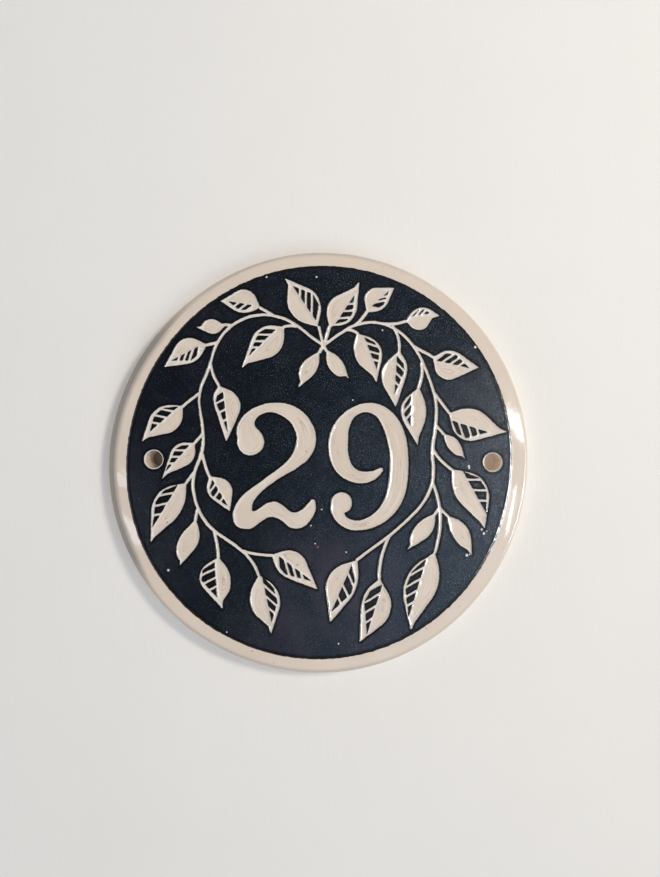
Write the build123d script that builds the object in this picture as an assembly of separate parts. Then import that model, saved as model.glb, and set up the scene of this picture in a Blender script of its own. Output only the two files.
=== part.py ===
from build123d import *
import os
from math import cos, pi, radians, sin, sqrt
from typing import NamedTuple

# House number plaque: one slab of stoneware whose dark slip is carved through to the pale clay.
# It is drawn face up, x to the right and y up the wall, and is stood against the wall at the end.

# Slab, in millimetres
PLAQUE_RADIUS = 74.8
THICKNESS = 11.0
FRONT_BEVEL = 2.4
BACK_BEVEL = 1.0

# Border scraped clean round the dark field
BORDER_WIDTH = 6.0
BORDER_STEP = 0.35

# Screw holes, each set in from the rim
HOLE_RADIUS = 3.1
HOLE_EDGE = 0.3
LEFT_HOLE_INSET = 16.3
LEFT_HOLE_HEIGHT = 1.2
RIGHT_HOLE_INSET = 13.4
RIGHT_HOLE_HEIGHT = 0.2

# Carving
CARVE_DEPTH = 0.6
STEM_WIDTH = 1.1
LEAF_RIM = 1.0
RIB_WIDTH = 0.85
RIB_LEAD = 0.25

# Hand-cut outlines are circles with slow waves: waves in a turn, share of the radius, angle of a crest
SLAB_WAVES = ((1, 0.0076, 208), (2, 0.0062, 44), (3, 0.0042, 64), (4, 0.0023, 16))
FIELD_WAVES = ((1, 0.0017, 0), (2, 0.0133, 69), (3, 0.0018, 74), (4, 0.0021, 28))
OUTLINE_POINTS = 24
OUTLINE_SPANS = 8

# A leaf's side turns round a corner that stands above its bulge, a little nearer the base
CORNER_HEIGHT = 1.4
CORNER_LEAD = 0.07
CORNER_ROUND = 0.6
WINDOW_CORNER = 0.34

# A leaf's tip is drawn out on its plain side: how far, how much of that side's straight it may take,
# and how wide that half is where it starts, against its length
TIP_LENGTH = 2.8
TIP_SHARE = 0.5
TIP_SLOPE = 0.11

# Arcs in the freehand strokes: pairs along each edge
STEM_SPANS = 7
TWO_ARCH_SPANS = 6
TWO_FOOT_SPANS = 4
NINE_SPANS = 8

# The drawing is made in hundredths of the dark field's radius, measured from the field's middle
FIELD_RADIUS = PLAQUE_RADIUS - BORDER_WIDTH
UNIT = FIELD_RADIUS / 100


class Leaf(NamedTuple):
    """One leaf: its base and tip, and the point where each side stands furthest out."""

    base: tuple
    tip: tuple
    left: tuple
    right: tuple


class Ribs(NamedTuple):
    """The open half of a leaf: which side, how many gaps, where they start and stop along the leaf,
    the angle of its veins in degrees and how far its midrib lies out from the leaf's middle."""

    side: str
    gaps: int
    start: float
    stop: float
    vein: float
    midrib: float


PLAIN_LEAVES = (
    Leaf((0.2, 57.2), (-11, 38.4), (-2, 46.6), (-9.3, 49.8)),
    Leaf((3.7, 58.2), (15.6, 42.6), (11.7, 52.4), (6.3, 46.6)),
    Leaf((-48.5, 70.2), (-63.6, 69.9), (-54.5, 66.5), (-55.8, 73.9)),
    Leaf((-63.5, -29), (-72, -53.3), (-62.4, -41), (-73.5, -43)),
    Leaf((64, 15), (75.3, 1.7), (71.7, 11), (67.7, 6)),
    Leaf((60, -25.8), (45.5, -44.7), (57, -36.8), (48.8, -33.7)),
    Leaf((66, -27), (78.7, -47.8), (77, -34.5), (69.8, -39.2)),
)

# Each spray from the crossing at the top down to the foot of the wreath
LEFT_SPRAY = (
    (Leaf((-0.8, 70), (-17.8, 95), (-14.3, 77.2), (-1, 86)), Ribs("right", 4, 0.10, 0.81, 35, 1.2)),
    (Leaf((-30.3, 79.8), (-50.8, 83.2), (-40.5, 77.4), (-37.5, 89.4)), Ribs("left", 3, 0.21, 0.80, 48, -0.6)),
    (Leaf((-57.8, 60.8), (-79.8, 49.2), (-64.5, 52.3), (-70, 63.5)), Ribs("left", 4, 0.17, 0.80, 43, -1.2)),
    (Leaf((-18, 70), (-39.8, 48.6), (-21.3, 57.3), (-31, 68)), Ribs("right", 4, 0.14, 0.76, 44, 2)),
    (Leaf((-51.5, 39.8), (-47.8, 10.6), (-40.9, 31), (-53.8, 32)), Ribs("right", 4, 0.12, 0.83, 70, -1.5)),
    (Leaf((-70, 29.4), (-91.3, 10.7), (-73.5, 18), (-84.5, 26.7)), Ribs("right", 4, 0.08, 0.76, 53, 1.2)),
    (Leaf((-64, 10.2), (-80.8, -8.3), (-66, 1), (-74, 8)), Ribs("right", 4, 0.11, 0.84, 48, 1.2)),
    (Leaf((-56.5, -7), (-46, -24.9), (-45.2, -11.3), (-56.5, -16.5)), Ribs("right", 4, 0.11, 0.86, 67, -0.5)),
    (Leaf((-68.3, -10.3), (-86.6, -41), (-71.7, -25.2), (-84, -17.8)), Ribs("right", 4, 0.09, 0.80, 48, 3.2)),
    (Leaf((-51.7, -48.5), (-49.6, -75.3), (-45.5, -60.8), (-61.7, -58.8)), Ribs("right", 4, 0.09, 0.77, 68, 2.3)),
    (Leaf((-31, -57.5), (-24.7, -88.2), (-20.3, -69.5), (-35, -73)), Ribs("left", 4, 0.05, 0.81, 37, 1.5)),
    (Leaf((-24.3, -47.3), (-0.7, -65.3), (-10.5, -46.8), (-18.7, -57.3)), Ribs("right", 4, 0.12, 0.82, 37, -1.6)),
)
RIGHT_SPRAY = (
    (Leaf((5.3, 70), (20.8, 93.3), (5.7, 82), (17.4, 74.8)), Ribs("right", 4, 0.11, 0.74, 51, 1.8)),
    (Leaf((24.5, 77.3), (38.8, 90), (25.3, 88.8), (33.5, 80)), Ribs("right", 3, 0.22, 0.83, 30, -0.7)),
    (Leaf((44.6, 72.8), (62.3, 75.5), (53.3, 80.5), (52, 68.4)), Ribs("left", 3, 0.20, 0.72, 42, 2.2)),
    (Leaf((19.6, 66.7), (29.5, 41), (31.8, 59), (19, 54.3)), Ribs("left", 4, 0.12, 0.77, 52, 2.8)),
    (Leaf((41.3, 57.8), (39.5, 28.4), (44.9, 48), (32.1, 44.5)), Ribs("left", 4, 0.10, 0.77, 48, -1)),
    (Leaf((58.5, 54.4), (82.3, 49), (69, 57.2), (64, 43)), Ribs("left", 4, 0.10, 0.80, 47, -1.3)),
    (Leaf((51.3, 38.8), (50.8, 8.8), (54.9, 26), (42.3, 26.5)), Ribs("right", 3, 0.14, 0.66, 38, 3.8)),
    (Leaf((66.8, 25.5), (97, 15.9), (80.5, 27), (74, 12.2)), Ribs("right", 4, 0.09, 0.70, 54, 3.2)),
    (Leaf((68.4, -3.3), (85.3, -34), (86.4, -11.5), (71, -17.3)), Ribs("left", 4, 0.11, 0.82, 60, 4.5)),
    (Leaf((59.7, -46), (47.5, -86.2), (60.5, -63.5), (44, -62)), Ribs("right", 5, 0.11, 0.85, 43, 3.3)),
    (Leaf((31.2, -59.5), (21, -92.2), (36.6, -77.7), (23.2, -69.8)), Ribs("right", 4, 0.07, 0.86, 41, -2.3)),
    (Leaf((19.7, -50), (5.9, -82), (18.2, -65.8), (5, -59)), Ribs("left", 4, 0.10, 0.85, 48, -1.6)),
)

# Middle lines of the stems: two long ones from the crossing, then the short ones that end at a leaf
LONG_STEMS = (
    (
        (2.3, 60.3), (-4.5, 65.5), (-12.5, 71.4), (-23, 75.6), (-34, 75.7), (-44, 71.2), (-51, 63.8),
        (-54.7, 54.5), (-58.3, 44.5), (-62.2, 34), (-61.2, 24), (-59.6, 13.5), (-60.3, 4), (-62.5, -2),
        (-64.6, -8), (-64.3, -17), (-62, -25.3), (-56, -33.6), (-47.5, -39.4), (-38.8, -46), (-31.2, -57.8),
    ),
    (
        (2.3, 60.3), (7, 64.3), (13, 69), (21, 71.6), (30, 72.4), (37.5, 71.1), (43, 66.4), (49, 59.3),
        (53.2, 50.5), (58, 39.5), (60.6, 28), (60, 17), (58.2, 7), (57.5, -2), (58.2, -10), (55, -18),
        (47.5, -27.4), (36, -37.6), (19.7, -49.8),
    ),
)
LEFT_STEMS = (
    ((2.3, 60.3), (-0.3, 70.3)),
    ((2.3, 60.3), (0.1, 56.4)),
    ((-23.5, 75.8), (-30.6, 79.9)),
    ((-44.5, 70.6), (-48, 71), (-51, 70.8)),
    ((-52, 62), (-58.2, 60.5)),
    ((-11.3, 69.9), (-14.5, 70.5), (-18.5, 69.8)),
    ((-55.8, 51), (-54.3, 45), (-51.4, 39.4)),
    ((-61.8, 35.7), (-70.4, 28.9)),
    ((-59.6, 15.3), (-64.4, 9.7)),
    ((-60, 4.6), (-58.9, -0.5), (-56.2, -7.4)),
    ((-64, -4.5), (-68.7, -10.8)),
    ((-62.7, -24), (-63.6, -30)),
    ((-54, -35.3), (-52.6, -41), (-51.7, -49)),
    ((-39.5, -45.3), (-32.5, -47), (-23.9, -47.6)),
)
RIGHT_STEMS = (
    ((2.6, 60.5), (5.6, 70.4)),
    ((2.3, 60.3), (4.0, 57.2)),
    ((18, 70.3), (21.5, 73.5), (24.8, 77.7)),
    ((31.5, 71.8), (38.5, 71.5), (45, 72.9)),
    ((13.5, 68.5), (17, 68.1), (20.3, 66.3)),
    ((36.8, 71.6), (40.6, 64.8), (41.3, 57.3)),
    ((48.3, 60.2), (59, 54.1)),
    ((52.7, 51.5), (53, 45), (51.2, 38.2)),
    ((59.3, 35.8), (67.3, 25.2)),
    ((60.3, 19), (64.4, 14.5)),
    ((58.3, 7.6), (62.5, 1.5), (68.8, -3.8)),
    ((36.2, -37.6), (32.5, -47.3), (31, -60)),
    ((58.2, -9.5), (60.2, -15), (62.2, -23.5)),
    ((62.2, -23), (59.6, -26.5)),
    ((62.2, -23.5), (66.4, -27.6)),
    ((62.2, -23.5), (62.1, -35.2), (59.6, -46.5)),
)

# Numerals: brush strokes as rows of x, y and width, and a round ball where a stroke starts or ends
TWO_ARCH = (
    (-36, 13.5, 12), (-37, 20.7, 8.2), (-32.6, 26.1, 4.7), (-24, 28.3, 4.9), (-16.5, 26.8, 7),
    (-9.5, 20.9, 8.9), (-6.4, 12.6, 9.9), (-8.3, 5.3, 9), (-14.6, -1.2, 5.7), (-20.5, -5.4, 4.6),
    (-28.8, -11.4, 4.1), (-34.5, -16.5, 5.8), (-38.6, -22.5, 9), (-38.8, -28.8, 10.6),
)
TWO_FOOT = (
    (-38, -29, 10), (-33, -28.4, 7.4), (-24.5, -23.6, 7.8), (-19.5, -25.3, 6.6), (-12.8, -30.1, 9.2),
    (-5.4, -25, 6.5), (-3.2, -20, 2.6),
)
TWO_BALL = (-35.2, 10.8, 7)
NINE_STROKE = (
    (31.8, -3.7, 2.4), (27.5, -6.6, 4.4), (21.2, -7.6, 5.4), (14.2, -4.1, 8.2), (10.4, 4, 9.7),
    (10.2, 12, 9.7), (12.2, 20, 7.4), (16.4, 25, 5.2), (24.3, 28.4, 4.9), (32.7, 25.5, 7.4),
    (38.2, 17.5, 9.3), (41.3, 4, 9.3), (40.8, -9.3, 9.4), (37.8, -20.2, 8.5), (31.7, -27.6, 6.9),
    (24, -31.6, 5.4), (17, -32.3, 4.8), (11.1, -28.7, 5.6), (9.5, -24.5, 6.5), (9.8, -21.3, 7.2),
)
NINE_BALL = (11.6, -20.6, 5.4)


def place(spot):
    """The drawing's place, in millimetres."""
    return Vector(spot[0] * UNIT, spot[1] * UNIT)


def tangent_arcs(guide, spans):
    """The guide curve redrawn in arcs, two to each span. Both arcs keep the guide's direction at the
    span's ends, and they meet midway between two points that lie the same reach along those directions."""
    arcs = []
    for span in range(spans):
        start = guide.position_at(span / spans)
        end = guide.position_at((span + 1) / spans)
        leave = guide.tangent_at(span / spans)
        arrive = guide.tangent_at((span + 1) / spans)
        chord = end - start
        lead = chord.dot(leave + arrive)
        turn = 2 * (1 - leave.dot(arrive))
        reach = chord.dot(chord) / (lead + sqrt(lead**2 + turn * chord.dot(chord)))
        joint = (start + end + (leave - arrive) * reach) / 2
        arcs.append(TangentArc(start, joint, tangent=leave))
        arcs.append(TangentArc(end, joint, tangent=arrive * -1))
    return arcs


def hand_cut(radius, waves):
    """Face inside the closed curve r(a) = radius (1 + sum of share cos(count (a - crest)))."""
    points = []
    for step in range(OUTLINE_POINTS):
        angle = 2 * pi * step / OUTLINE_POINTS
        swell = sum(share * cos(count * (angle - radians(crest))) for count, share, crest in waves)
        points.append(Vector(radius * (1 + swell) * cos(angle), radius * (1 + swell) * sin(angle)))
    return make_face(tangent_arcs(Spline(*points, periodic=True), OUTLINE_SPANS))


def brush(rows, spans):
    """One stroke of changing width: its two edges stand off the middle line, and both ends are round."""
    middle = Spline(*[place(row) for row in rows])
    left = []
    right = []
    for row in rows:
        off = middle.tangent_at(place(row)).rotate(Axis.Z, 90) * (row[2] * UNIT / 2)
        left.append(place(row) + off)
        right.append(place(row) - off)
    start = place(rows[0]) - middle.tangent_at(0) * (rows[0][2] * UNIT / 2)
    end = place(rows[-1]) + middle.tangent_at(1) * (rows[-1][2] * UNIT / 2)
    outline = tangent_arcs(Spline(*left), spans) + tangent_arcs(Spline(*right), spans)
    outline.append(ThreePointArc(left[-1], end, right[-1]))
    outline.append(ThreePointArc(left[0], start, right[0]))
    return make_face(outline)


def long_stem(spots):
    """A stem that runs the whole spray: a stroke of even width along its middle line."""
    return brush([(x, y, STEM_WIDTH / UNIT) for x, y in spots], STEM_SPANS)


def short_stem(spots):
    """A stem that ends at a leaf: straight between two spots, or one arc through three."""
    ends = [place(spot) for spot in spots]
    middle = Line(*ends) if len(ends) == 2 else ThreePointArc(*ends)
    return trace(middle, STEM_WIDTH)


def ball(spot):
    """Round end of a numeral's stroke."""
    return Pos(place(spot)) * Circle(spot[2] * UNIT)


def turned_side(base, tip, bulge, share):
    """Where one side of a leaf starts and stops turning: its corner stands above the bulge, and the
    turn takes this share of the shorter straight."""
    along = (tip - base).normalized()
    reach = (bulge - base).dot(along)
    out = bulge - base - along * reach
    corner = base + along * (reach - CORNER_LEAD * (tip - base).length) + out * CORNER_HEIGHT
    rise = corner - base
    fall = tip - corner
    cut = share * min(rise.length, fall.length)
    return corner - rise.normalized() * cut, corner + fall.normalized() * cut


def leaf_side(base, tip, bulge):
    """One side of a leaf: straight from the base, round the bulge in one arc, straight to the tip."""
    turn, leave = turned_side(base, tip, bulge, CORNER_ROUND)
    return [Line(base, turn), TangentArc(turn, leave, tangent=turn - base), Line(leave, tip)]


def drawn_side(base, tip, bulge):
    """A leaf's plain side where its tip is drawn out: it closes in on the middle before the tip."""
    along = (tip - base).normalized()
    out = bulge - base - along * (bulge - base).dot(along)
    rise, arc, fall = leaf_side(base, tip, bulge)
    length = min(TIP_LENGTH, TIP_SHARE * fall.length)
    neck = tip + (out.normalized() * TIP_SLOPE - along) * length
    return [rise, arc, Line(fall @ 0, neck), Line(neck, tip)]


def leaf_face(leaf, drawn=None):
    """The whole outline of a leaf, with its tip drawn out on one side or on neither."""
    base = place(leaf.base)
    tip = place(leaf.tip)
    left = (drawn_side if drawn == "left" else leaf_side)(base, tip, place(leaf.left))
    right = (drawn_side if drawn == "right" else leaf_side)(base, tip, place(leaf.right))
    return make_face(left + right)


def leaf_gaps(leaf, ribs):
    """The dark gaps of a leaf's open half: a window inside the leaf's rim, crossed by slanting ribs."""
    base = place(leaf.base)
    length = (place(leaf.tip) - base).length
    along = (place(leaf.tip) - base) / length
    bulge = place(leaf.left if ribs.side == "left" else leaf.right)
    reach = (bulge - base).dot(along)
    width = (bulge - base - along * reach).length
    out = (bulge - base - along * reach) / width
    start = base + along * (ribs.start * length) + out * (ribs.midrib * UNIT)
    stop = base + along * (ribs.stop * length) + out * (ribs.midrib * UNIT)
    turn, leave = turned_side(start, stop, bulge - out * LEAF_RIM, WINDOW_CORNER)
    window = make_face(Polyline(start, turn, leave, stop, close=True))
    slant = along * cos(radians(ribs.vein)) + out * sin(radians(ribs.vein))
    half = slant.rotate(Axis.Z, 90) * (RIB_WIDTH / 2)
    bars = []
    for gap in range(1, ribs.gaps):
        foot = start + (stop - start) * ((gap - RIB_LEAD) / ribs.gaps)
        inner = foot - slant * width
        outer = foot + slant * (2 * width)
        bars.append(make_face(Polyline(inner - half, outer - half, outer + half, inner + half, close=True)))
    return window - bars


def carving():
    """Everything that is cut through the slip, seen from the front."""
    cuts = [leaf_face(leaf, "right") for leaf in PLAIN_LEAVES]
    gaps = []
    for leaf, ribs in LEFT_SPRAY + RIGHT_SPRAY:
        plain_side = "right" if ribs.side == "left" else "left"
        cuts.append(leaf_face(leaf, plain_side if ribs.midrib > 0 else None))
        gaps.append(leaf_gaps(leaf, ribs))
    cuts.extend(long_stem(spots) for spots in LONG_STEMS)
    cuts.extend(short_stem(spots) for spots in LEFT_STEMS + RIGHT_STEMS)
    cuts.append(brush(TWO_ARCH, TWO_ARCH_SPANS))
    cuts.append(brush(TWO_FOOT, TWO_FOOT_SPANS))
    cuts.append(brush(NINE_STROKE, NINE_SPANS))
    cuts.append(ball(TWO_BALL))
    cuts.append(ball(NINE_BALL))
    return Sketch() + cuts - gaps


def slab():
    """The slab with its bevelled rim, and the dark field standing a little proud of the border."""
    blank = extrude(hand_cut(PLAQUE_RADIUS, SLAB_WAVES), THICKNESS - BORDER_STEP)
    blank = chamfer(blank.faces().sort_by(Axis.Z)[-1].edges(), FRONT_BEVEL)
    blank = chamfer(blank.faces().sort_by(Axis.Z)[0].edges(), BACK_BEVEL)
    return blank + extrude(hand_cut(FIELD_RADIUS, FIELD_WAVES), THICKNESS)


def screw_hole(middle):
    """A clear hole through the slab, softened where it meets the face."""
    bore = Pos(middle.X, middle.Y, THICKNESS / 2) * Cylinder(HOLE_RADIUS, THICKNESS)
    mouth = Pos(middle.X, middle.Y, THICKNESS - HOLE_EDGE / 2)
    return bore + mouth * Cone(HOLE_RADIUS, HOLE_RADIUS + HOLE_EDGE, HOLE_EDGE)


def plaque():
    """The finished plaque, face up."""
    floor = Pos(0, 0, THICKNESS - CARVE_DEPTH)
    holes = [
        screw_hole(Vector(LEFT_HOLE_INSET - PLAQUE_RADIUS, LEFT_HOLE_HEIGHT)),
        screw_hole(Vector(PLAQUE_RADIUS - RIGHT_HOLE_INSET, RIGHT_HOLE_HEIGHT)),
    ]
    return slab() - floor * extrude(carving(), CARVE_DEPTH) - holes


os.makedirs("parts", exist_ok=True)
export_step(Plane.XZ * plaque(), "parts/plaque.step")
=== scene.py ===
from math import cos, radians, sin

import bmesh
import bpy
import numpy as np
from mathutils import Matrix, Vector, geometry


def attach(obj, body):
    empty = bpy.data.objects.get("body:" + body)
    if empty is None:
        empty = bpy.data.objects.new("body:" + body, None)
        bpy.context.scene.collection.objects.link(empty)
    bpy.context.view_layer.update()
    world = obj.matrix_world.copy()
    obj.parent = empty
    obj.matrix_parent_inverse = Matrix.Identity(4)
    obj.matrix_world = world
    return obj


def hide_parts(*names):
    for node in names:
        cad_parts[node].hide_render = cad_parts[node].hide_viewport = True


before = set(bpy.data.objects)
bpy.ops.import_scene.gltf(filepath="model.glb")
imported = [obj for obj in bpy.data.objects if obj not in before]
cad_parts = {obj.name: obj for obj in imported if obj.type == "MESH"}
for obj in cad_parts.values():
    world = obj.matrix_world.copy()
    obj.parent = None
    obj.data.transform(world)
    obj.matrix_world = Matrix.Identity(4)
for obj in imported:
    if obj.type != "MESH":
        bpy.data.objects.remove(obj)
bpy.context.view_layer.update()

# A round stoneware house number plaque. Its dark slip is carved through to the pale clay, and a clear
# glaze covers it all. The plaque's surfaces are worked out in millimetres over the wall plane, x to the
# right and z up, with the depth in front of the wall as height; the meshes are in metres.

plaque_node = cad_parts["plaque"]
MM = 0.001
TINY = 1e-9
LEVEL_SLACK = 0.004

# Carving: profile of the cut as distance from its edge and share of its depth, with a low burr, a shoulder
# that the glaze has rounded and a steep wall
CUT_PROFILE = ((-0.30, -1.0), (-0.02, -0.15), (0.22, 0.06), (0.33, 0.09), (0.60, 0.0))
CUT_DEPTH_SHARE = 0.95
CUT_REACH = 3.4
CUT_BAND = 2.5

# Cut line as the hand redraws it, and the rows of points that follow it
CUT_STEP = 0.35
CUT_ROWS = (0.60, 0.32, 0.18, -0.15, -0.30)
ROW_SLACK = 0.12
ROW_SLACK_LEAST = 0.01
SIDE_PROBE = 0.02
LINE_SPACING = 0.12
HAND_WOBBLE = 0.05
HAND_SIZES = (5.0, 1.3)
HAND_SEEDS = ((1, 2), (3, 4))
QUICK_SHARE = 0.8

# Unevenness of the surfaces: height, size in millimetres and seed
FIELD_SWELL = (0.04, 46, 5)
FIELD_RIPPLE = (0.008, 9, 6)
DEPTH_RIPPLE = (0.04, 6.5, 7)
BURR_RIPPLE = (0.9, 2.1, 8)
CREASE_RIPPLE = (0.5, 12, 11)

# Field and border: the border falls off the field in a soft step, is a little crowned, and leans outwards
# more about some places, each given by its angle, its half width and its lean in degrees
FIELD_SINK = 0.10
STEP_PROFILE = ((-0.45, 0.0), (-0.05, -0.45), (0.22, -1.0))
STEP_WOBBLE = 0.07
STEP_SIZES = (3.6, 1.7)
STEP_SEEDS = (10, 12)
BORDER_CROWN = 0.03
BORDER_LEAST = 0.5
BORDER_LEAN = 0.6
LEANS = ((12, 10, 0.9), (194, 50, 4.5))
LEAN_PLATEAU = 0.45

# Rim: a bevel breaks it, wider about the left side and the foot, with a crease along the wide part
OUTLINE_EASE = 0.02
BEVEL_WIDTH = 0.9
LEFT_BEVEL_WIDTH = 2.0
LEFT_BEVEL_MIDDLE = 168
LEFT_BEVEL_REACH = (28, 75)
LOW_BEVEL_WIDTH = 0.75
LOW_BEVEL_REACH = (0.30, 0.85)
BEVEL_SLOPE = 1.05
BEVEL_SOFTNESS = 0.05
LOW_BEVEL_SOFTNESS = 0.16
CREASE_START = BEVEL_WIDTH + LOW_BEVEL_WIDTH + 0.1
CREASE_FULL = BEVEL_WIDTH + LOW_BEVEL_WIDTH + 0.7
CREASE_SHARE = 0.7
CREASE_DEPTH = 0.20
CREASE_INSET = 0.25
CREASE_WIDTH = 0.24

# Mouths of the screw holes: how far they are rounded and bare of slip
MOUTH_ROUND = 0.34
MOUTH_SLOPE = 0.7
MOUTH_BARE = 0.40

# Points round each turn, and rings of them beside the field's edge, the bevel, the rim and the holes
TURN_POINTS = 640
STEP_POINTS = 960
MOUTH_POINTS = 64
STEP_RINGS = (-0.62, -0.45, -0.25, -0.05, 0.09, 0.22, 0.36)
FIELD_RING = 1.0
BORDER_RING = 0.8
BORDER_SHARES = (0.25, 0.5, 0.75, 0.9)
BEVEL_RINGS = (-0.55, -0.4, -0.25, -0.12, -0.03, 0.04, 0.12)
RIM_RING = 0.1
MOUTH_RINGS = (0.12, 0.28, 0.45, 0.8)
SIDE_ROWS = 9
HOLE_ROWS = 8

# Loose points between the lines, on the front and on the back
FILL_REACH = 80
FILL_STEP = 0.95
FILL_JITTER = 0.2
FILL_SEED = 9
FILL_CLEARANCE = 0.75
FILL_MARGIN = 1.3
BACK_REACH = 72
BACK_STEP = 6.0
BACK_RADIUS = 66
BACK_CLEARANCE = 2
BACK_RING = 0.6

# Joining points into skins, over the whole hull of each cloud, and the skins into one shell
WHOLE_HULL = 0
JOIN_SLACK = 1e-7
HOLE_SLACK = 0.995
WELD = 0.002
SHARP_ANGLE = 75

# What each corner carries for the material, in millimetres: distance from the cut line, from the field's
# edge and in from the outline. Off the front these are fixed, at values that stand for plain clay.
MARKS = ("cut", "edge", "inset")
SIDE_MARKS = (-3.0, 6.0, 30.0)
BACK_MARKS = (-3.0, 20.0, 30.0)
HOLE_MARKS = (-9.0, -6.0, 30.0)

# Camera: the photograph's height and focal length in pixels, and where it was taken from, in millimetres
IMAGE_HEIGHT = 877
FOCAL_PIXELS = 633
EYE_RIGHT = 3.85
EYE_UP = 8.59
EYE_DISTANCE = 234.8
SENSOR = 36.0
NEAREST = 0.01


def merged_cad():
    """The CAD node's corners, merged, in millimetres as x, height in front of the wall and z, and its
    triangles as rows of three corner numbers."""
    mesh = plaque_node.data
    mesh.calc_loop_triangles()
    corners = np.empty(len(mesh.vertices) * 3)
    mesh.vertices.foreach_get("co", corners)
    triangles = np.empty(len(mesh.loop_triangles) * 3, dtype=np.int32)
    mesh.loop_triangles.foreach_get("vertices", triangles)
    corners = np.round(corners.reshape(-1, 3) / MM * (1, -1, 1), 3) + 0.0
    merged, numbers = np.unique(corners, axis=0, return_inverse=True)
    return merged, numbers.reshape(-1)[triangles].reshape(-1, 3)


def flat_edges(corners, triangles, level):
    """The edges that bound the CAD's flat faces at one height: those that only one such triangle uses,
    as a pair of arrays of x and z."""
    flat = triangles[np.all(np.abs(corners[triangles, 1] - level) < LEVEL_SLACK, axis=1)]
    pairs = np.concatenate([flat[:, [0, 1]], flat[:, [1, 2]], flat[:, [2, 0]]])
    ordered = np.sort(pairs, axis=1)
    _, first, count = np.unique(ordered, axis=0, return_index=True, return_counts=True)
    rim = pairs[first[count == 1]]
    return corners[rim[:, 0]][:, [0, 2]], corners[rim[:, 1]][:, [0, 2]]


def ring_waves(points, terms=9, steps=360):
    """The slow waves of a ring of points round the middle: the first terms of the Fourier series of
    its radius against its angle."""
    angle = np.arctan2(points[:, 1], points[:, 0])
    order = np.argsort(angle)
    even = np.linspace(-np.pi, np.pi, steps, endpoint=False)
    radius = np.interp(even, angle[order], np.hypot(*points[order].T), period=2 * np.pi)
    waves = np.fft.rfft(radius)[:terms] / steps
    waves[1:] *= 2
    return waves * np.exp(1j * np.pi * np.arange(terms))


def ring_radius(waves, angle):
    """Radius of a ring at these angles: the sum of its waves."""
    return np.real(np.exp(1j * np.multiply.outer(angle, np.arange(len(waves)))) @ waves)


def ripple(points, size, seed, waves=7):
    """Smooth hand-made unevenness between about -1 and 1: the sum of crossing sine waves over half their
    number. Each has a direction and a phase of its own, and a length within a third of the size."""
    rng = np.random.default_rng(seed)
    total = np.zeros(len(points))
    for heading, phase, stretch in rng.random((waves, 3)):
        along = points @ (cos(2 * np.pi * heading), sin(2 * np.pi * heading))
        total += np.sin(2 * np.pi * (along / (size * (0.7 + 0.6 * stretch)) + phase))
    return total / (waves / 2)


def uneven(points, height, size, seed):
    """A ripple of this height."""
    return height * ripple(points, size, seed)


def wander(points, sizes, seeds):
    """How a hand-drawn line strays: a slow ripple with a weaker quick one on it."""
    return ripple(points, sizes[0], seeds[0]) + QUICK_SHARE * ripple(points, sizes[1], seeds[1])


def hand_cut_line(starts, ends):
    """The cut line as short straight pieces. Each CAD edge is divided evenly, corners are softened by
    moving every point towards the middle of its neighbours, and a ripple moves them off the drawing."""
    lengths = np.hypot(*(ends - starts).T)
    parts = np.maximum(1, np.round(lengths / CUT_STEP)).astype(int)
    edge = np.repeat(np.arange(len(starts)), parts)
    place = np.arange(parts.sum()) - np.repeat(np.cumsum(parts) - parts, parts)
    low = (place / parts[edge])[:, None]
    high = ((place + 1) / parts[edge])[:, None]
    span = (ends - starts)[edge]
    both = np.round(np.concatenate([starts[edge] + span * low, starts[edge] + span * high]), 4)
    points, numbers = np.unique(both, axis=0, return_inverse=True)
    pieces = numbers.reshape(2, -1)
    pull = np.zeros_like(points)
    np.add.at(pull, pieces[0], points[pieces[1]])
    np.add.at(pull, pieces[1], points[pieces[0]])
    points = points / 2 + pull / 4
    strays = [wander(points, HAND_SIZES, seeds) for seeds in HAND_SEEDS]
    points = points + HAND_WOBBLE * np.stack(strays, axis=1)
    return points[pieces[0]], points[pieces[1]]


def cut_distance(points, starts, ends):
    """Distance of each point to the cut line, up to a reach, less than zero inside a cut. Bands of the
    plaque are taken in turn: the nearest piece gives the distance, and a point is inside where a level
    line from it to the right crosses the cut line an odd number of times."""
    distance = np.full(len(points), CUT_REACH)
    low = np.minimum(starts[:, 1], ends[:, 1])
    high = np.maximum(starts[:, 1], ends[:, 1])
    for level in np.arange(points[:, 1].min(), points[:, 1].max() + CUT_BAND, CUT_BAND):
        here = np.flatnonzero((points[:, 1] >= level) & (points[:, 1] < level + CUT_BAND))
        near = np.flatnonzero((high > level - CUT_REACH) & (low < level + CUT_BAND + CUT_REACH))
        if len(here) == 0 or len(near) == 0:
            continue
        step = (ends - starts)[near][None]
        away = points[here][:, None] - starts[near][None]
        along = np.clip((away * step).sum(2) / (step**2).sum(2), 0, 1)
        gap = np.sqrt(((away - along[..., None] * step) ** 2).sum(2).min(1))
        crosses = (away[..., 1] < 0) != (away[..., 1] < step[..., 1])
        slope = np.where(np.abs(step[..., 1]) < TINY, TINY, step[..., 1])
        crosses &= away[..., 0] < away[..., 1] * step[..., 0] / slope
        inside = crosses.sum(1) % 2 == 1
        distance[here] = np.minimum(gap, CUT_REACH) * np.where(inside, -1, 1)
    return distance


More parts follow.
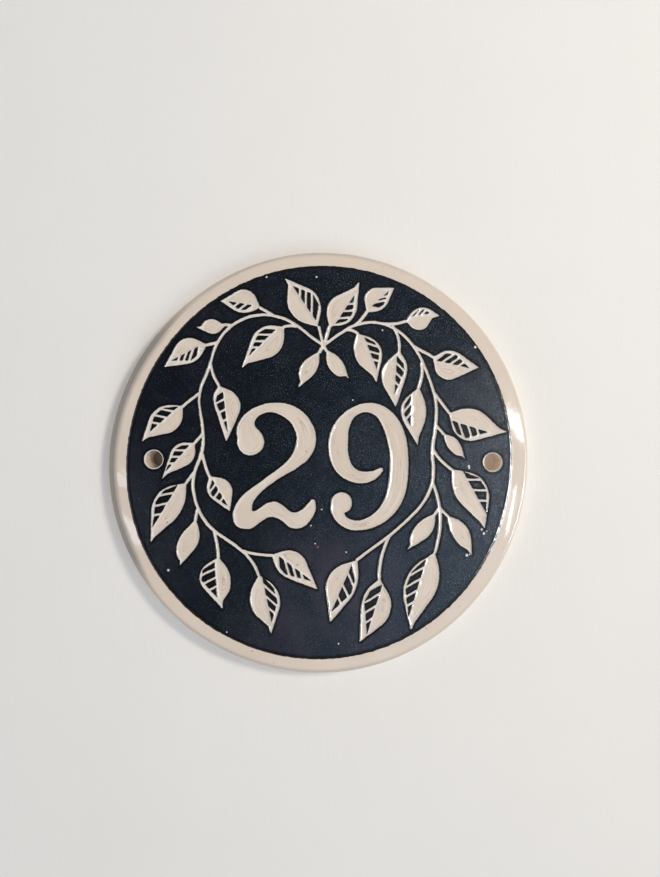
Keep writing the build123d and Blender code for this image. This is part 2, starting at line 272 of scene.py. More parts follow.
def cut_points(starts, ends):
    """Points that follow the cut line: its own corners, and rows carried along it at fixed distances.
    A row's point is kept only where no other part of the line comes nearer."""
    step = ends - starts
    lengths = np.hypot(*step.T)
    outward = np.stack([step[:, 1], -step[:, 0]], axis=1) / lengths[:, None]
    middle = (starts + ends) / 2
    side = np.sign(cut_distance(middle + SIDE_PROBE * outward, starts, ends))
    outward *= side[:, None]
    kept = [np.unique(starts.round(4), axis=0)]
    for row in CUT_ROWS:
        candidates = middle + outward * row
        gap = cut_distance(candidates, starts, ends)
        kept.append(candidates[np.abs(gap - row) < ROW_SLACK * abs(row) + ROW_SLACK_LEAST])
    return np.concatenate(kept)


def thinned(points, spacing):
    """The points with no two in one square cell of the spacing."""
    _, first = np.unique(np.floor(points / spacing).astype(int), axis=0, return_index=True)
    return points[np.sort(first)]


def smooth_step(value, low, high):
    """Rises from 0 at low to 1 at high, level at both ends."""
    t = np.clip((value - low) / (high - low), 0, 1)
    return t * t * (3 - 2 * t)


def degrees_from(angle, middle):
    """How far these angles lie from a middle, the short way round, in degrees."""
    return np.degrees(np.abs(np.angle(np.exp(1j * (angle - radians(middle))))))


def low_share(angle):
    """1 at the foot of the plaque, 0 at its sides and top."""
    return smooth_step(-np.sin(angle), *LOW_BEVEL_REACH)


def bevel_width(angle):
    """How wide the rim is bevelled at these angles: a little all round, and more about the left side
    and the foot."""
    away = degrees_from(angle, LEFT_BEVEL_MIDDLE)
    left = LEFT_BEVEL_WIDTH * (1 - smooth_step(away, *LEFT_BEVEL_REACH))
    return BEVEL_WIDTH + np.maximum(left, LOW_BEVEL_WIDTH * low_share(angle))


def border_slope(angle):
    """How steeply the border falls outwards at these angles: a little all round, and more where the
    maker's sponge leaned."""
    lean = np.full(len(angle), BORDER_LEAN)
    for middle, reach, more in LEANS:
        lean += more * (1 - smooth_step(degrees_from(angle, middle), LEAN_PLATEAU * reach, reach))
    return np.tan(np.radians(lean))


# The CAD's levels from the wall outwards, its rings, its screw holes and its cut line
corners, triangles = merged_cad()
BACK, HEEL, SHOULDER, FLOOR, BORDER, _, FACE = np.unique(corners[:, 1].round(2))
border_ring = flat_edges(corners, triangles, BORDER)[0]
outer = np.hypot(*border_ring.T) > np.hypot(*border_ring.T).mean()
field_waves = ring_waves(border_ring[~outer])
slab_waves = ring_waves(corners[np.abs(corners[:, 1] - SHOULDER) < LEVEL_SLACK][:, [0, 2]])
slab_waves[0] -= OUTLINE_EASE
back_ring = flat_edges(corners, triangles, BACK)[0]
hole_ring = back_ring[np.hypot(*back_ring.T) < ring_radius(field_waves, 0.0)]
holes = [hole_ring[hole_ring[:, 0] < 0].mean(0), hole_ring[hole_ring[:, 0] > 0].mean(0)]
hole_radius = np.hypot(*(hole_ring[hole_ring[:, 0] > 0] - holes[1]).T).mean()
cut_starts, cut_ends = hand_cut_line(*flat_edges(corners, triangles, FLOOR))


def from_holes(points):
    """Distance of these points from the middle of the nearer screw hole."""
    return np.min([np.hypot(*(points - hole).T) for hole in holes], axis=0)


def front_form(points):
    """Height of the front at these points, with their distance from the cut line, from the field's edge
    and in from the slab's outline. The field is flat but for a slow ripple. A cut sinks to its floor over
    the width of its wall, with a low burr outside it. Past the field's edge the border lies lower and a
    little crowned, then a bevel with a softened edge breaks the rim. The screw holes' mouths are rounded."""
    angle = np.arctan2(points[:, 1], points[:, 0])
    radius = np.hypot(*points.T)
    edge = radius - ring_radius(field_waves, angle) + STEP_WOBBLE * wander(points, STEP_SIZES, STEP_SEEDS)
    inset = ring_radius(slab_waves, angle) - radius
    cut = cut_distance(points, cut_starts, cut_ends)
    mouth = from_holes(points) - hole_radius
    height = FACE - FIELD_SINK + uneven(points, *FIELD_SWELL) + uneven(points, *FIELD_RIPPLE)
    height += (FACE - BORDER) * np.interp(edge, *np.transpose(STEP_PROFILE))
    depth = (FACE - FLOOR) * (CUT_DEPTH_SHARE + uneven(points, *DEPTH_RIPPLE))
    lip = np.interp(cut, *np.transpose(CUT_PROFILE))
    height += depth * np.where(lip > 0, lip * (1 + uneven(points, *BURR_RIPPLE)), lip)
    bevel = bevel_width(angle)
    border = np.clip(edge / np.maximum(edge + inset - bevel, BORDER_LEAST), 0, 1)
    height += BORDER_CROWN * 4 * border * (1 - border) * (edge > 0)
    height -= border_slope(angle) * np.maximum(edge, 0)
    softness = BEVEL_SOFTNESS + LOW_BEVEL_SOFTNESS * low_share(angle)
    height -= BEVEL_SLOPE * softness * np.logaddexp(0, (bevel - inset) / softness)
    crease = smooth_step(bevel, CREASE_START, CREASE_FULL) * (CREASE_SHARE + uneven(points, *CREASE_RIPPLE))
    height -= CREASE_DEPTH * crease * np.exp(-(((inset - bevel - CREASE_INSET) / CREASE_WIDTH) ** 2))
    height -= MOUTH_ROUND * MOUTH_SLOPE * np.clip(1 - mouth / MOUTH_ROUND, 0, 1) ** 2
    return np.minimum(height, FACE), np.minimum(cut, mouth - MOUTH_BARE), edge, inset


def even_turn(count):
    """Angles once round, in even steps."""
    return np.linspace(0, 2 * np.pi, count, endpoint=False)


def turn_ring(radii):
    """Points once round the middle at these radii, one radius to each even step of the turn."""
    angle = even_turn(len(radii))
    return np.stack([radii * np.cos(angle), radii * np.sin(angle)], axis=1)


def hole_rings(gap):
    """A ring of points round each screw hole, this far outside its wall."""
    return [turn_ring(np.full(MOUTH_POINTS, hole_radius + gap)) + hole for hole in holes]


def square_grid(reach, step):
    """Points in even rows over a square that reaches this far from the middle."""
    row = np.arange(-reach, reach, step)
    return np.stack(np.meshgrid(row, row), axis=-1).reshape(-1, 2)


def stood(points, height):
    """Points over the wall plane, with their height, as x, y and z."""
    return np.column_stack([points[:, 0], np.broadcast_to(-height, len(points)), points[:, 1]])


turn = even_turn(TURN_POINTS)
slab_radius = ring_radius(slab_waves, turn)
outline = turn_ring(slab_radius)
mouths = hole_rings(0.0)


def joined(points):
    """Triangles that join a cloud of points over the wall plane, none of them across a screw hole."""
    made = geometry.delaunay_2d_cdt(points.tolist(), [], [], WHOLE_HULL, JOIN_SLACK)
    places = np.array(made[0])
    faces = np.array(made[2])
    across = from_holes(places[faces].mean(1)) < hole_radius * HOLE_SLACK
    return places, faces[~across]


def front_skin():
    """The front: rows along the cuts, rings along the field's edge, the border and the hole mouths, and
    loose points between, joined and raised to the front's height."""
    field = ring_radius(field_waves, turn)
    bevel = bevel_width(turn)
    rings = [outline] + mouths
    step = ring_radius(field_waves, even_turn(STEP_POINTS))
    rings += [turn_ring(step + gap) for gap in STEP_RINGS]
    start = field + BORDER_RING
    rings += [turn_ring(field - FIELD_RING), turn_ring(start)]
    rings += [turn_ring(start + (slab_radius - bevel - start) * share) for share in BORDER_SHARES]
    rings += [turn_ring(slab_radius - bevel + gap) for gap in BEVEL_RINGS]
    rim = slab_radius - RIM_RING
    rings += [turn_ring(rim), turn_ring(rim - (bevel - RIM_RING - BEVEL_RINGS[-1]) / 2)]
    for gap in MOUTH_RINGS:
        rings += hole_rings(gap)
    grid = square_grid(FILL_REACH, FILL_STEP)
    grid = grid + FILL_JITTER * FILL_STEP * np.random.default_rng(FILL_SEED).uniform(-1, 1, grid.shape)
    lines = thinned(cut_points(cut_starts, cut_ends), LINE_SPACING)
    _, cut, edge, _ = front_form(grid)
    grid = grid[(np.abs(cut) > FILL_CLEARANCE) & (edge < -FILL_MARGIN)]
    places, faces = joined(np.concatenate(rings + [grid, lines]))
    height, *marks = front_form(places)
    return stood(places, height), faces, *marks


def carried(rings):
    """Quads between rings of equal count, one after another, each ring closed on itself."""
    count = len(rings[0])
    here = np.arange(count)
    there = (here + 1) % count
    first = np.column_stack([here, there, there + count, here + count])
    return np.concatenate(rings), np.concatenate([first + k * count for k in range(len(rings) - 1)])


def drawn_back(ring, end, rows):
    """A ring on the front carried straight back to the height of its end, in even rows."""
    top = front_form(ring)[0]
    return [stood(ring, top + (end - top) * share) for share in np.linspace(0, 1, rows)]


back_outline = turn_ring(slab_radius - (HEEL - BACK))


def side_skin():
    """The side: the outline carried back to the heel, then in along the back's bevel."""
    return *carried(drawn_back(outline, HEEL, SIDE_ROWS) + [stood(back_outline, BACK)]), *SIDE_MARKS


def back_skin():
    """The flat back: its outline, a ring inside it, rings round the holes and loose points between."""
    grid = square_grid(BACK_REACH, BACK_STEP)
    clear = from_holes(grid) > hole_radius + BACK_CLEARANCE
    grid = grid[(np.hypot(*grid.T) < BACK_RADIUS) & clear]
    rings = [turn_ring(slab_radius - (HEEL - BACK) - BACK_RING)] + mouths + hole_rings(BACK_RING)
    places, faces = joined(np.concatenate([back_outline, grid] + rings))
    return stood(places, BACK), faces, *BACK_MARKS


def hole_skin(mouth):
    """A screw hole's wall: its mouth carried straight back."""
    return *carried(drawn_back(mouth, BACK, HOLE_ROWS)), *HOLE_MARKS


def built(name, skins):
    """One mesh from skins of corners, faces and the marks that each corner carries. Equal corners are
    merged and the faces turned outwards."""
    corners_all = np.concatenate([skin[0] for skin in skins]) * MM
    offsets = np.cumsum([0] + [len(skin[0]) for skin in skins])
    faces = []
    for offset, skin in zip(offsets, skins):
        faces += (skin[1] + offset).tolist()
    mesh = bpy.data.meshes.new(name)
    mesh.from_pydata(corners_all.tolist(), [], faces)
    for column, mark in enumerate(MARKS, 2):
        values = np.concatenate([np.broadcast_to(skin[column], len(skin[0])) for skin in skins])
        mesh.attributes.new(mark, "FLOAT", "POINT").data.foreach_set("value", values.astype(np.float32))
    shell = bmesh.new()
    shell.from_mesh(mesh)
    bmesh.ops.remove_doubles(shell, verts=shell.verts, dist=WELD * MM)
    bmesh.ops.recalc_face_normals(shell, faces=shell.faces)
    shell.to_mesh(mesh)
    shell.free()
    mesh.polygons.foreach_set("use_smooth", np.ones(len(mesh.polygons), dtype=bool))
    mesh.set_sharp_from_angle(angle=radians(SHARP_ANGLE))
    mesh.update()
    piece = bpy.data.objects.new(name, mesh)
    bpy.context.collection.objects.link(piece)
    return piece


skins = [front_skin(), side_skin(), back_skin()] + [hole_skin(mouth) for mouth in mouths]
plaque = built("carved_plaque", skins)
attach(plaque, "root")
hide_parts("plaque")


class Socket:
    """An output of a shader node. Arithmetic on it adds Math nodes to the same tree."""

    def __init__(self, tree, output):
        self.tree = tree
        self.output = output

    def math(self, operation, *values):
        """A Math node on these values."""
        return self.tree.node("ShaderNodeMath", {"operation": operation}, dict(enumerate(values)))

    def __add__(self, other):
        return self.math("ADD", self, other)

    def __sub__(self, other):
        return self.math("SUBTRACT", self, other)

    def __rsub__(self, other):
        return self.math("SUBTRACT", other, self)

    def __mul__(self, other):
        return self.math("MULTIPLY", self, other)

    def __truediv__(self, other):
        return self.math("DIVIDE", self, other)

    def __gt__(self, other):
        return self.math("GREATER_THAN", self, other)

    __radd__ = __add__
    __rmul__ = __mul__

    def rise(self, low, high):
        """0 below low, 1 above high, level at both ends."""
        settings = {"interpolation_type": "SMOOTHSTEP"}
        return self.tree.node("ShaderNodeMapRange", settings, {0: self, 1: low, 2: high, 3: 0.0, 4: 1.0})

    def gap_from(self, middle):
        """How far the value lies from the middle."""
        return self.math("ABSOLUTE", self - middle)

    def bell(self, middle, width):
        """1 at the middle, falling to 0 at the width to either side."""
        return 1 - self.gap_from(middle).rise(0.0, width)

    def band(self, start, full, wane, end):
        """0 up to the start, 1 from full to wane, and 0 again past the end."""
        return self.rise(start, full) * (1 - self.rise(wane, end))


class Tree:
    """A shader's node tree, emptied."""

    def __init__(self, owner):
        owner.use_nodes = True
        self.nodes = owner.node_tree.nodes
        self.links = owner.node_tree.links
        self.nodes.clear()

    def node(self, kind, settings, sockets, output=0):
        """Adds a node of this kind, sets its settings, then fills its sockets with values or links."""
        made = self.nodes.new(kind)
        for name, value in settings.items():
            setattr(made, name, value)
        for key, value in sockets.items():
            if isinstance(value, Socket):
                self.links.new(value.output, made.inputs[key])
            else:
                made.inputs[key].default_value = value
        return Socket(self, made.outputs[output]) if made.outputs else None

    def place(self):
        """Where a point of the object lies, in metres, with its x and its z."""
        where = self.node("ShaderNodeTexCoord", {}, {}, output="Object")
        parts = [self.node("ShaderNodeSeparateXYZ", {}, {0: where}, output=part) for part in (0, 2)]
        return where, *parts

    def vector_math(self, operation, first, second):
        """A number worked out from two vectors."""
        return self.node("ShaderNodeVectorMath", {"operation": operation}, {0: first, 1: second}, output=1)

    def mix(self, share, first, second):
        """A colour part of the way from the first to the second."""
        settings = {"data_type": "RGBA", "clamp_factor": True}
        return self.node("ShaderNodeMix", settings, {0: share, 6: first, 7: second}, output=2)

    def layered(self, ground, layers):
        """A ground colour with layers over it, each a share and a colour."""
        for share, colour in layers:
            ground = self.mix(share, ground, colour)
        return ground

    def noise(self, where, size, detail=2.0, roughness=0.5):
        """Cloudy noise from 0 to 1 whose blotches are about this size, in metres."""
        sockets = {"Vector": where, "Scale": 1 / size, "Detail": detail, "Roughness": roughness}
        return self.node("ShaderNodeTexNoise", {}, sockets)


# Noises of the plaque's finish: size in metres, detail and roughness
CLOUD = (0.020, 4.0, 0.6)
PATCHES = (0.009, 3.0, 0.6)
SWELL = (0.0030, 2.0, 0.5)
DUST = (0.0022, 3.0, 0.7)
RAGGED = (0.0008, 3.0, 0.7)
GRAIN = (0.0006, 3.0, 0.75)
FINE_GRAIN = (0.00042, 2.0, 0.6)

# Marks drawn out along the cuts: spacing in millimetres, waves a metre, detail and roughness
STROKES = (0.5, 60.0, 3.0, 0.6)
TOOL_LINES = (0.16, 110.0, 2.0, 0.5)

# Slip
SLIP_SHADED = (0.0014, 0.0022, 0.0036, 1)
# The lighter, bluer slip colour for the right side is painted sheen. The dust, grain and sparkle colours below
# are partly real grain and specks and partly painted sheen and glints, since they grow towards the right where
# the light falls.
SLIP_PAINTED_SHEEN = (0.0030, 0.0052, 0.0085, 1)
SLIP_CLOUD = (0.0145, 0.0125, 0.0185, 1)
SLIP_DUST_AND_SHEEN = (0.0320, 0.0400, 0.0520, 1)
SLIP_GRAIN_AND_SHEEN = (0.1080, 0.1330, 0.1620, 1)
SLIP_SPECK_AND_GLINT = (0.36, 0.40, 0.44, 1)
SLIP_WARM = (0.0430, 0.0330, 0.0440, 1)
SLIP_EDGE = (0.0010, 0.0012, 0.0016, 1)
WARM_MIDDLE = (0.004, 0, -0.046)

# Ends of the slip, in millimetres: how ragged they are, how far it hangs over a cut and past the field's edge,
# and how softly it ends
RAGGED_REACH = 0.30
RIM_RAGGED_SHARE = 0.6
SLIP_OVERHANG = 0.07
SLIP_RIM = 0.30
SLIP_CUT_SOFTNESS = 0.03
SLIP_RIM_SOFTNESS = 0.04

# Chips in the slip, and one red fleck: x, z and radius in millimetres
CHIPS = (
    (55.2, 40.9, 0.55), (53.0, -1.2, 0.50), (53.1, -1.9, 0.40), (52.3, -32.7, 0.60), (53.2, -32.4, 0.35),
    (57.5, -23.6, 0.45), (58.3, -25.0, 0.55), (59.3, -24.2, 0.28), (-53.3, -38.0, 0.55), (-18.6, 65.7, 0.40),
    (-0.9, 65.7, 0.42), (0.9, -16.5, 0.32), (-2.9, -22.2, 0.30), (9.6, -31.6, 0.32), (6.9, -64.0, 0.36),
    (-32.7, -59.9, 0.30), (22.4, 46.9, 0.34), (11.9, 22.2, 0.30), (-1.4, -28.6, 0.30),
)
CHIP_CORE = 0.5
CHIP_RAGGED = 0.9
CHIP_PALE = (0.74, 0.74, 0.73, 1)
FLECK = (-0.5, -29.8, 0.65)
FLECK_CORE = 0.4
FLECK_RED = (0.22, 0.06, 0.065, 1)

# Clay
CLAY_PALE = (0.745, 0.624, 0.506, 1)
CLAY_DEEP = (0.700, 0.579, 0.462, 1)
STROKE_DEEP = (0.52, 0.41, 0.31, 1)
STROKE_PALE = (0.86, 0.79, 0.70, 1)
TOOL_DARK = (0.36, 0.27, 0.20, 1)
PIT_DARK = (0.20, 0.14, 0.10, 1)
PIT_SCALE = 260.0
PIT_CHOICE = 0.80
# Painted light: paler clay over the shaded walls of the cuts and inside the dim screw holes
CUT_PAINTED_LIGHT = (0.79, 0.75, 0.70, 1)
HOLE_PAINTED_LIGHT = (0.95, 0.82, 0.70, 1)
# Painted shade on the turn of the rim, strongest at the left side away from the light, and the height it
# centres on
RIM_PAINTED_SHADE = (0.004, 0.025, 0.035, 1)
RIM_SHADE_HEIGHT = 0.0055

# Glaze, and the bands of the slip where it is thin, in millimetres from its ends
GLAZE_IOR = 1.5
DULL_ROUGHNESS = 0.6
DULL_SPECULAR = 0.1
THIN_SHARE = 0.93
THIN_BY_CUT = (0.16, 0.34, 0.42, 1.40)
THIN_BY_EDGE = (0.60, 0.78, 0.90, 1.90)
GLAZE_BUMP = {"Strength": 0.28, "Distance": 0.0003}


class PlaqueTree(Tree):
    """The plaque's tree, with the distances and noises that its colours share. The slip lies inside the
    field's edge and outside the cuts; both lines are ragged by a fraction of a millimetre."""

    def __init__(self, owner):
        super().__init__(owner)
        self.where, self.across, self.up = self.place()
        self.flat = self.node("ShaderNodeCombineXYZ", {}, {0: self.across, 2: self.up})
        self.cut, self.edge, self.inset = [
            self.node("ShaderNodeAttribute", {"attribute_name": mark}, {}, output="Fac") for mark in MARKS
        ]
        self.cloud = self.noise(self.where, *CLOUD)
        self.grain = self.noise(self.where, *GRAIN)
        self.strokes = self.along_cuts(*STROKES)
        ragged = (self.noise(self.where, *RAGGED) - 0.5) * RAGGED_REACH
        rim = self.edge + ragged * RIM_RAGGED_SHARE
        within = 1 - rim.rise(SLIP_RIM - SLIP_RIM_SOFTNESS, SLIP_RIM + SLIP_RIM_SOFTNESS)
        self.line = self.cut + ragged + SLIP_OVERHANG
        self.inward = SLIP_RIM - rim
        self.slip = self.line.rise(-SLIP_CUT_SOFTNESS, SLIP_CUT_SOFTNESS) * within
        self.carved = 1 - self.edge.rise(-0.5, 0.0)

    def along_cuts(self, spacing, drift, detail, roughness):
        """Noise drawn out along the cuts: it changes by this spacing away from the cut line, in
        millimetres, and by this many waves a metre along it."""
        place = {0: self.cut / spacing, 1: self.across * drift, 2: self.up * drift}
        return self.noise(self.node("ShaderNodeCombineXYZ", {}, place), 1.0, detail, roughness)

    def spot(self, x, z, size, core, ragged):
        """1 in the core of a round spot, 0 outside it; the grain makes its edge ragged."""
        gap = self.vector_math("DISTANCE", self.flat, (x * MM, 0, z * MM))
        gap = gap + (self.grain - 0.5) * (size * MM * ragged)
        return 1 - gap.rise(size * MM * core, size * MM)

    def chips(self):
        """1 in every chip of the slip, 0 outside them."""
        chipped = 0.0
        for chip in CHIPS:
            spot = self.spot(*chip, CHIP_CORE, CHIP_RAGGED)
            chipped = spot.math("MAXIMUM", spot, chipped)
        return chipped

    def pits(self):
        """1 in the clay's pits, 0 outside them: the middles of a few cells of a pattern of cells."""
        cells = {"Vector": self.where, "Scale": PIT_SCALE}
        gap = self.node("ShaderNodeTexVoronoi", {}, cells)
        shade = self.node("ShaderNodeTexVoronoi", {}, cells, output="Color")
        picked = self.node("ShaderNodeSeparateColor", {}, {0: shade}) > PIT_CHOICE
        return (1 - gap.rise(0.05, 0.11)) * picked

    def painted_rim_shade(self):
        """Painted shade on the turn of the rim, where it turns from the light: faint and narrow all round,
        fainter still at the right, and strong and wide at the left."""
        level = 1 - self.up.gap_from(RIM_SHADE_HEIGHT).rise(0.036, 0.055)
        left = (0 - self.across).rise(0.025, 0.045) * level
        right = self.across.rise(0.01, 0.05)
        width = 0.45 + left * 0.75
        return (1 - (self.inset / width).rise(1.6, 4.0)) * (0.20 - right * 0.15 + left * 0.43)

    def slip_colour(self):
        """Dark slip: painted sheen makes it lighter, bluer and grainier towards the right, where the light
        falls; cloudy, dusty, warmer at the foot, and near black beside the cuts and along the field's edge,
        with pale chips and one red fleck."""
        fine = self.noise(self.where, *FINE_GRAIN)
        patch = 0.45 + self.noise(self.where, *PATCHES).rise(0.32, 0.66)
        dust = self.noise(self.where, *DUST)
        # painted sheen: how far a point lies towards the lit right side
        painted_sheen_share = self.across.rise(-0.06, 0.07)
        foot = self.vector_math("DISTANCE", self.flat, WARM_MIDDLE)
        return self.layered(SLIP_SHADED, (
            (painted_sheen_share, SLIP_PAINTED_SHEEN),
            (self.cloud.rise(0.45, 0.75) * 0.6, SLIP_CLOUD),
            (dust.rise(0.40, 0.70) * (0.10 + painted_sheen_share * 0.25), SLIP_DUST_AND_SHEEN),
            (fine.rise(0.52, 0.66) * patch * (0.09 + painted_sheen_share * 0.42), SLIP_GRAIN_AND_SHEEN),
            (fine.rise(0.64, 0.76) * self.grain.rise(0.45, 0.60) * (0.4 + painted_sheen_share * 0.6), SLIP_SPECK_AND_GLINT),
            ((1 - foot.rise(0.004, 0.040)) * self.cloud.rise(0.30, 0.62) * 0.7, SLIP_WARM),
            (self.line.bell(0.30, 1.0) * 0.85, SLIP_EDGE),
            (self.inward.bell(0.40, 1.2) * 0.90, SLIP_EDGE),
            (self.chips(), CHIP_PALE),
            (self.spot(*FLECK, FLECK_CORE, 0.0) * 0.9, FLECK_RED),
        ))

    def clay_colour(self):
        """Pale clay: softly clouded, with tool marks in the cuts and dark pits, paler along the cuts and in
        the screw holes as painted light on their shaded walls, and greyer at the turn of the rim as painted
        shade, most at the left."""
        tool_lines = self.along_cuts(*TOOL_LINES)
        return self.layered(CLAY_PALE, (
            (self.cloud.rise(0.25, 0.75), CLAY_DEEP),
            (self.carved * self.strokes.rise(0.54, 0.72) * 0.35, STROKE_DEEP),
            (self.carved * (1 - self.strokes.rise(0.28, 0.44)) * 0.45, STROKE_PALE),
            (self.carved * tool_lines.rise(0.61, 0.70) * 0.65, TOOL_DARK),
            (self.pits() * 0.7, PIT_DARK),
            (self.carved * self.line.bell(-0.25, 0.45) * 0.6, CUT_PAINTED_LIGHT),
            (1 - self.cut.rise(-8.0, -3.8), HOLE_PAINTED_LIGHT),
            (self.painted_rim_shade(), RIM_PAINTED_SHADE),
        ))

    def thin_glaze(self):
        """Where the glaze is thin and dull: on the slip, just beside a cut and inside the field's edge."""
        by_cut = self.line.band(*THIN_BY_CUT)
        by_edge = self.inward.band(*THIN_BY_EDGE)
        return by_cut.math("MAXIMUM", by_cut, by_edge) * self.slip * THIN_SHARE

    def relief(self):
        """Fine relief under the glaze: a slow swell, the slip's grain and the tool's strokes in the clay."""
        swell = self.noise(self.where, *SWELL) * (0.06 + self.carved * 0.44)
        grain = self.grain * (0.03 + self.carved * 0.07 + self.slip * 0.65)
        return swell + grain + self.strokes * self.carved * (1 - self.slip) * 0.5


def glazed_stoneware():
    """Pale speckled clay and dark slip under one clear glaze, which the back hasn't got."""
    material = bpy.data.materials.new("glazed_stoneware")
    tree = PlaqueTree(material)
    colour = tree.mix(tree.slip, tree.clay_colour(), tree.slip_colour())
    roughness = 0.06 + tree.slip * 0.08 + tree.edge.rise(10.0, 16.0) * 0.55
    normal = tree.node("ShaderNodeBump", {}, {**GLAZE_BUMP, "Height": tree.relief()})
    glossy = tree.node("ShaderNodeBsdfPrincipled", {}, {
        "Base Color": colour, "Roughness": roughness, "Normal": normal, "IOR": GLAZE_IOR,
    })
    dull = tree.node("ShaderNodeBsdfPrincipled", {}, {
        "Base Color": colour, "Roughness": DULL_ROUGHNESS, "Normal": normal,
        "Specular IOR Level": DULL_SPECULAR,
    })
    shader = tree.node("ShaderNodeMixShader", {}, {0: tree.thin_glaze(), 1: glossy, 2: dull})
    tree.node("ShaderNodeOutputMaterial", {}, {"Surface": shader})
    return material


plaque.data.materials.append(glazed_stoneware())

# Wall, in millimetres: how far it reaches, how far under the plaque it starts and how far behind it lies
WALL_REACH = 6000.0
WALL_TUCK = 1.2
WALL_GAP = 0.15
WALL_PAINT = ((0.822, 0.783, 0.724, 1), (0.850, 0.811, 0.752, 1))
PAINT_CLOUD = (0.03, 3.0)
PAINT_SWELL = (0.006, 3.0)
PAINT_BRUSH = (0.0016, 3.0, 0.6)
BRUSH_STRETCH = 0.2
PAINT_BUMP = {"Strength": 0.16, "Distance": 0.0006}

# Bare wall in the screw holes, a little in front of their back ends; its colour is painted shade in the left
# hole and painted light in the right one
PLUG_HEIGHT = 0.3
PLUG_RADII = (0.01, hole_radius - 0.03)
LEFT_PLUG_PAINTED_SHADE = (0.24, 0.19, 0.145, 1)
RIGHT_PLUG_PAINTED_LIGHT = (0.95, 0.80, 0.66, 1)
PLUG_MOTTLE = (0.1, 0.08, 0.06, 1)
PLUG_CLOUD = (0.002, 3.0)


def from_front(tree, shader):
    """Ends the tree with this shader, clear where its surface is seen from behind."""
    clear = tree.node("ShaderNodeBsdfTransparent", {}, {})
    behind = tree.node("ShaderNodeNewGeometry", {}, {}, output="Backfacing")
    shown = tree.node("ShaderNodeMixShader", {}, {0: behind, 1: shader, 2: clear})
    tree.node("ShaderNodeOutputMaterial", {}, {"Surface": shown})


def painted_wall():
    """Off-white brushed paint, seen from the front only."""
    material = bpy.data.materials.new("painted_wall")
    tree = Tree(material)
    where, across, up = tree.place()
    paint = tree.mix(tree.noise(where, *PAINT_CLOUD), *WALL_PAINT)
    brushed = tree.node("ShaderNodeCombineXYZ", {}, {0: across, 2: up * BRUSH_STRETCH})
    relief = tree.noise(where, *PAINT_SWELL) + tree.noise(brushed, *PAINT_BRUSH)
    normal = tree.node("ShaderNodeBump", {}, {**PAINT_BUMP, "Height": relief})
    shader = tree.node("ShaderNodeBsdfPrincipled", {}, {
        "Base Color": paint, "Roughness": 0.9, "Normal": normal, "Specular IOR Level": 0.0,
    })
    from_front(tree, shader)
    return material


def hole_wall_painted_light_and_shade(name, colour):
    """Wall behind a screw hole, mottled, seen from the front only, in the colour given for its hole: painted
    shade in the left hole, painted light in the right.
    """
    material = bpy.data.materials.new(name)
    tree = Tree(material)
    where = tree.node("ShaderNodeTexCoord", {}, {}, output="Object")
    mottled = tree.mix(tree.noise(where, *PLUG_CLOUD) * 0.3, colour, PLUG_MOTTLE)
    shader = tree.node("ShaderNodeBsdfPrincipled", {}, {"Base Color": mottled, "Roughness": 0.8})
    from_front(tree, shader)
    return material


def flat_mesh(name, rings, material):
    """A flat ring or disc that faces the room, from rings of x, y and z."""
    places, quads = carried(rings)
    mesh = bpy.data.meshes.new(name)
    mesh.from_pydata((places * MM).tolist(), [], quads[:, ::-1].tolist())
    mesh.materials.append(material)
    piece = bpy.data.objects.new(name, mesh)
    bpy.context.collection.objects.link(piece)


opening = stood(turn_ring(slab_radius - WALL_TUCK), -WALL_GAP)
far_edge = stood(turn_ring(np.full(TURN_POINTS, WALL_REACH)), -WALL_GAP)
flat_mesh("wall", [opening, far_edge], painted_wall())
for label, hole, colour in zip(("left", "right"), holes, (LEFT_PLUG_PAINTED_SHADE, RIGHT_PLUG_PAINTED_LIGHT)):
    disc = [stood(turn_ring(np.full(MOUTH_POINTS, radius)) + hole, PLUG_HEIGHT) for radius in PLUG_RADII]
    flat_mesh(f"wall_in_{label}_hole", disc, hole_wall_painted_light_and_shade(f"{label}_hole_wall_painted_light_and_shade", colour))

# Light: its colours, the radius on the border where reflections are judged and how far off the panes that it
# mirrors stand, in millimetres
WARM_DAY = (1.0, 0.95, 0.87)
ROOM_WHITE = (1.0, 0.98, 0.95)
PANE_WHITE = (1.0, 1.0, 1.0)
COOL_WHITE = (0.95, 0.98, 1.0)
CARD_BLUE = (0.70, 0.78, 1.0)
BORDER_MIDDLE = 71.5
PANE_DISTANCE = 1000


def lamp(name, place, width, height, power, colour, aim=(0, 0, 0), spread=180):
    """A soft rectangular lamp at this place, in millimetres, turned to its aim. A grid narrows its beam to
    the spread, in degrees."""
    data = bpy.data.lights.new(name, "AREA")
    data.shape = "RECTANGLE"
    data.size = width * MM
    data.size_y = height * MM
    data.energy = power
    data.color = colour
    data.spread = radians(spread)
    made = bpy.data.objects.new(name, data)
    made.location = Vector(place) * MM
    made.rotation_euler = (Vector(aim) * MM - made.location).to_track_quat("-Z", "Y").to_euler()
    bpy.context.collection.objects.link(made)
    return made


def toward(azimuth, off_normal, distance):
    """A place in front of the wall: this far off its normal, in the direction of the azimuth."""
    lean = radians(off_normal)
    heading = radians(azimuth)
    return (distance * sin(lean) * cos(heading), -distance * cos(lean), distance * sin(lean) * sin(heading))


def mirrored(angle, lean):
    """Where a lamp stands for the camera to see it in the border at this angle, if the border leans out by
    this much: the view from the border to the camera is turned over about the border's normal."""
    outward = Vector((cos(radians(angle)), 0, sin(radians(angle))))
    spot = outward * BORDER_MIDDLE - Vector((0, BORDER, 0))
    view = (Vector((EYE_RIGHT, -EYE_DISTANCE, EYE_UP)) - spot).normalized()
    normal = outward * sin(radians(lean)) - Vector((0, cos(radians(lean)), 0))
    return spot + (2 * view.dot(normal) * normal - view) * PANE_DISTANCE


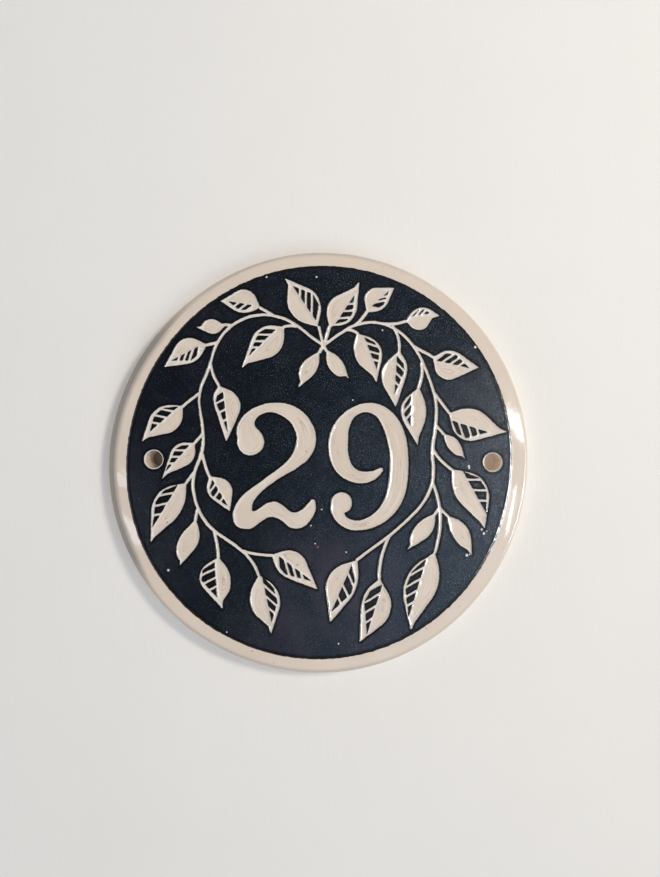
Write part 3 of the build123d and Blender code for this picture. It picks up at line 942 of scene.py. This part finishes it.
soft = (
    lamp("window_light", toward(27, 37, 800), 133, 133, 2.65, WARM_DAY),
    lamp("room_light", toward(180, 8, 3000), 660, 660, 12.3, ROOM_WHITE),
    lamp("floor_light", toward(-50, 40, 2000), 1000, 1000, 5.0, ROOM_WHITE),
    lamp("back_light", (-500, 900, 600), 500, 500, 5.0, ROOM_WHITE),
)
for bulb in soft:
    bulb.visible_glossy = False
panes = (
    lamp("upper_pane", mirrored(12, 1.6), 84, 36, 0.30, PANE_WHITE),
    lamp("lower_pane", mirrored(-14.5, 0.6), 9, 96, 0.16, PANE_WHITE),
    lamp("upper_card", mirrored(184.3, 5.1), 200, 28, 0.105, CARD_BLUE),
    lamp("lower_card", mirrored(199, 5.1), 200, 76, 0.28, CARD_BLUE),
    lamp("side_window", toward(-10, 62, 300), 75, 270, 0.42, COOL_WHITE, (98, 0, -14), 40),
)
for pane in panes:
    pane.visible_diffuse = False

# Room: its colours, as the glaze mirrors them, and the headings of its dark and its light side
ROOM_LEFT = (0.28, 0.28, 0.30, 1)
ROOM_RIGHT = (0.42, 0.41, 0.40, 1)
FAR_LEFT = (0.90, 0.86, 0.88, 1)
DARK_SIDE = (0.09, 0.115, 0.155, 1)
LIGHT_SIDE = (0.76, 1.02, 1.38, 1)
BACKDROP = (0.85, 0.85, 0.84, 1)
DARK_HEADING = Vector((-0.30, -0.95, 0.02)).normalized()
LIGHT_HEADING = Vector((0.42, -0.86, -0.34)).normalized()


def room():
    """The room's light: brighter to the right and at the far left, with a dark side and a light side. The
    camera itself sees an even backdrop."""
    world = bpy.data.worlds.new("room")
    bpy.context.scene.world = world
    tree = Tree(world)
    heading = tree.node("ShaderNodeTexCoord", {}, {}, output="Generated")
    across = tree.node("ShaderNodeSeparateXYZ", {}, {0: heading})
    dark_side = tree.vector_math("DOT_PRODUCT", heading, DARK_HEADING)
    light_side = tree.vector_math("DOT_PRODUCT", heading, LIGHT_HEADING)
    camera_ray = tree.node("ShaderNodeLightPath", {}, {}, output="Is Camera Ray")
    glow = tree.layered(ROOM_LEFT, (
        (across.rise(-0.2, 0.8), ROOM_RIGHT),
        (1 - across.rise(-0.9, -0.45), FAR_LEFT),
        (dark_side.rise(0.70, 0.94), DARK_SIDE),
        (light_side.rise(0.84, 0.97), LIGHT_SIDE),
        (camera_ray, BACKDROP),
    ))
    background = tree.node("ShaderNodeBackground", {}, {"Color": glow, "Strength": 1.0})
    tree.node("ShaderNodeOutputWorld", {}, {"Surface": background})


room()

camera_data = bpy.data.cameras.new("camera")
camera_data.sensor_width = SENSOR
camera_data.lens = SENSOR * FOCAL_PIXELS / IMAGE_HEIGHT
camera_data.clip_start = NEAREST
camera = bpy.data.objects.new("camera", camera_data)
camera.location = Vector((EYE_RIGHT, -EYE_DISTANCE, EYE_UP)) * MM
camera.rotation_euler = (radians(90), 0, 0)
bpy.context.collection.objects.link(camera)
bpy.context.scene.camera = camera
bpy.context.scene.view_settings.view_transform = "Standard"
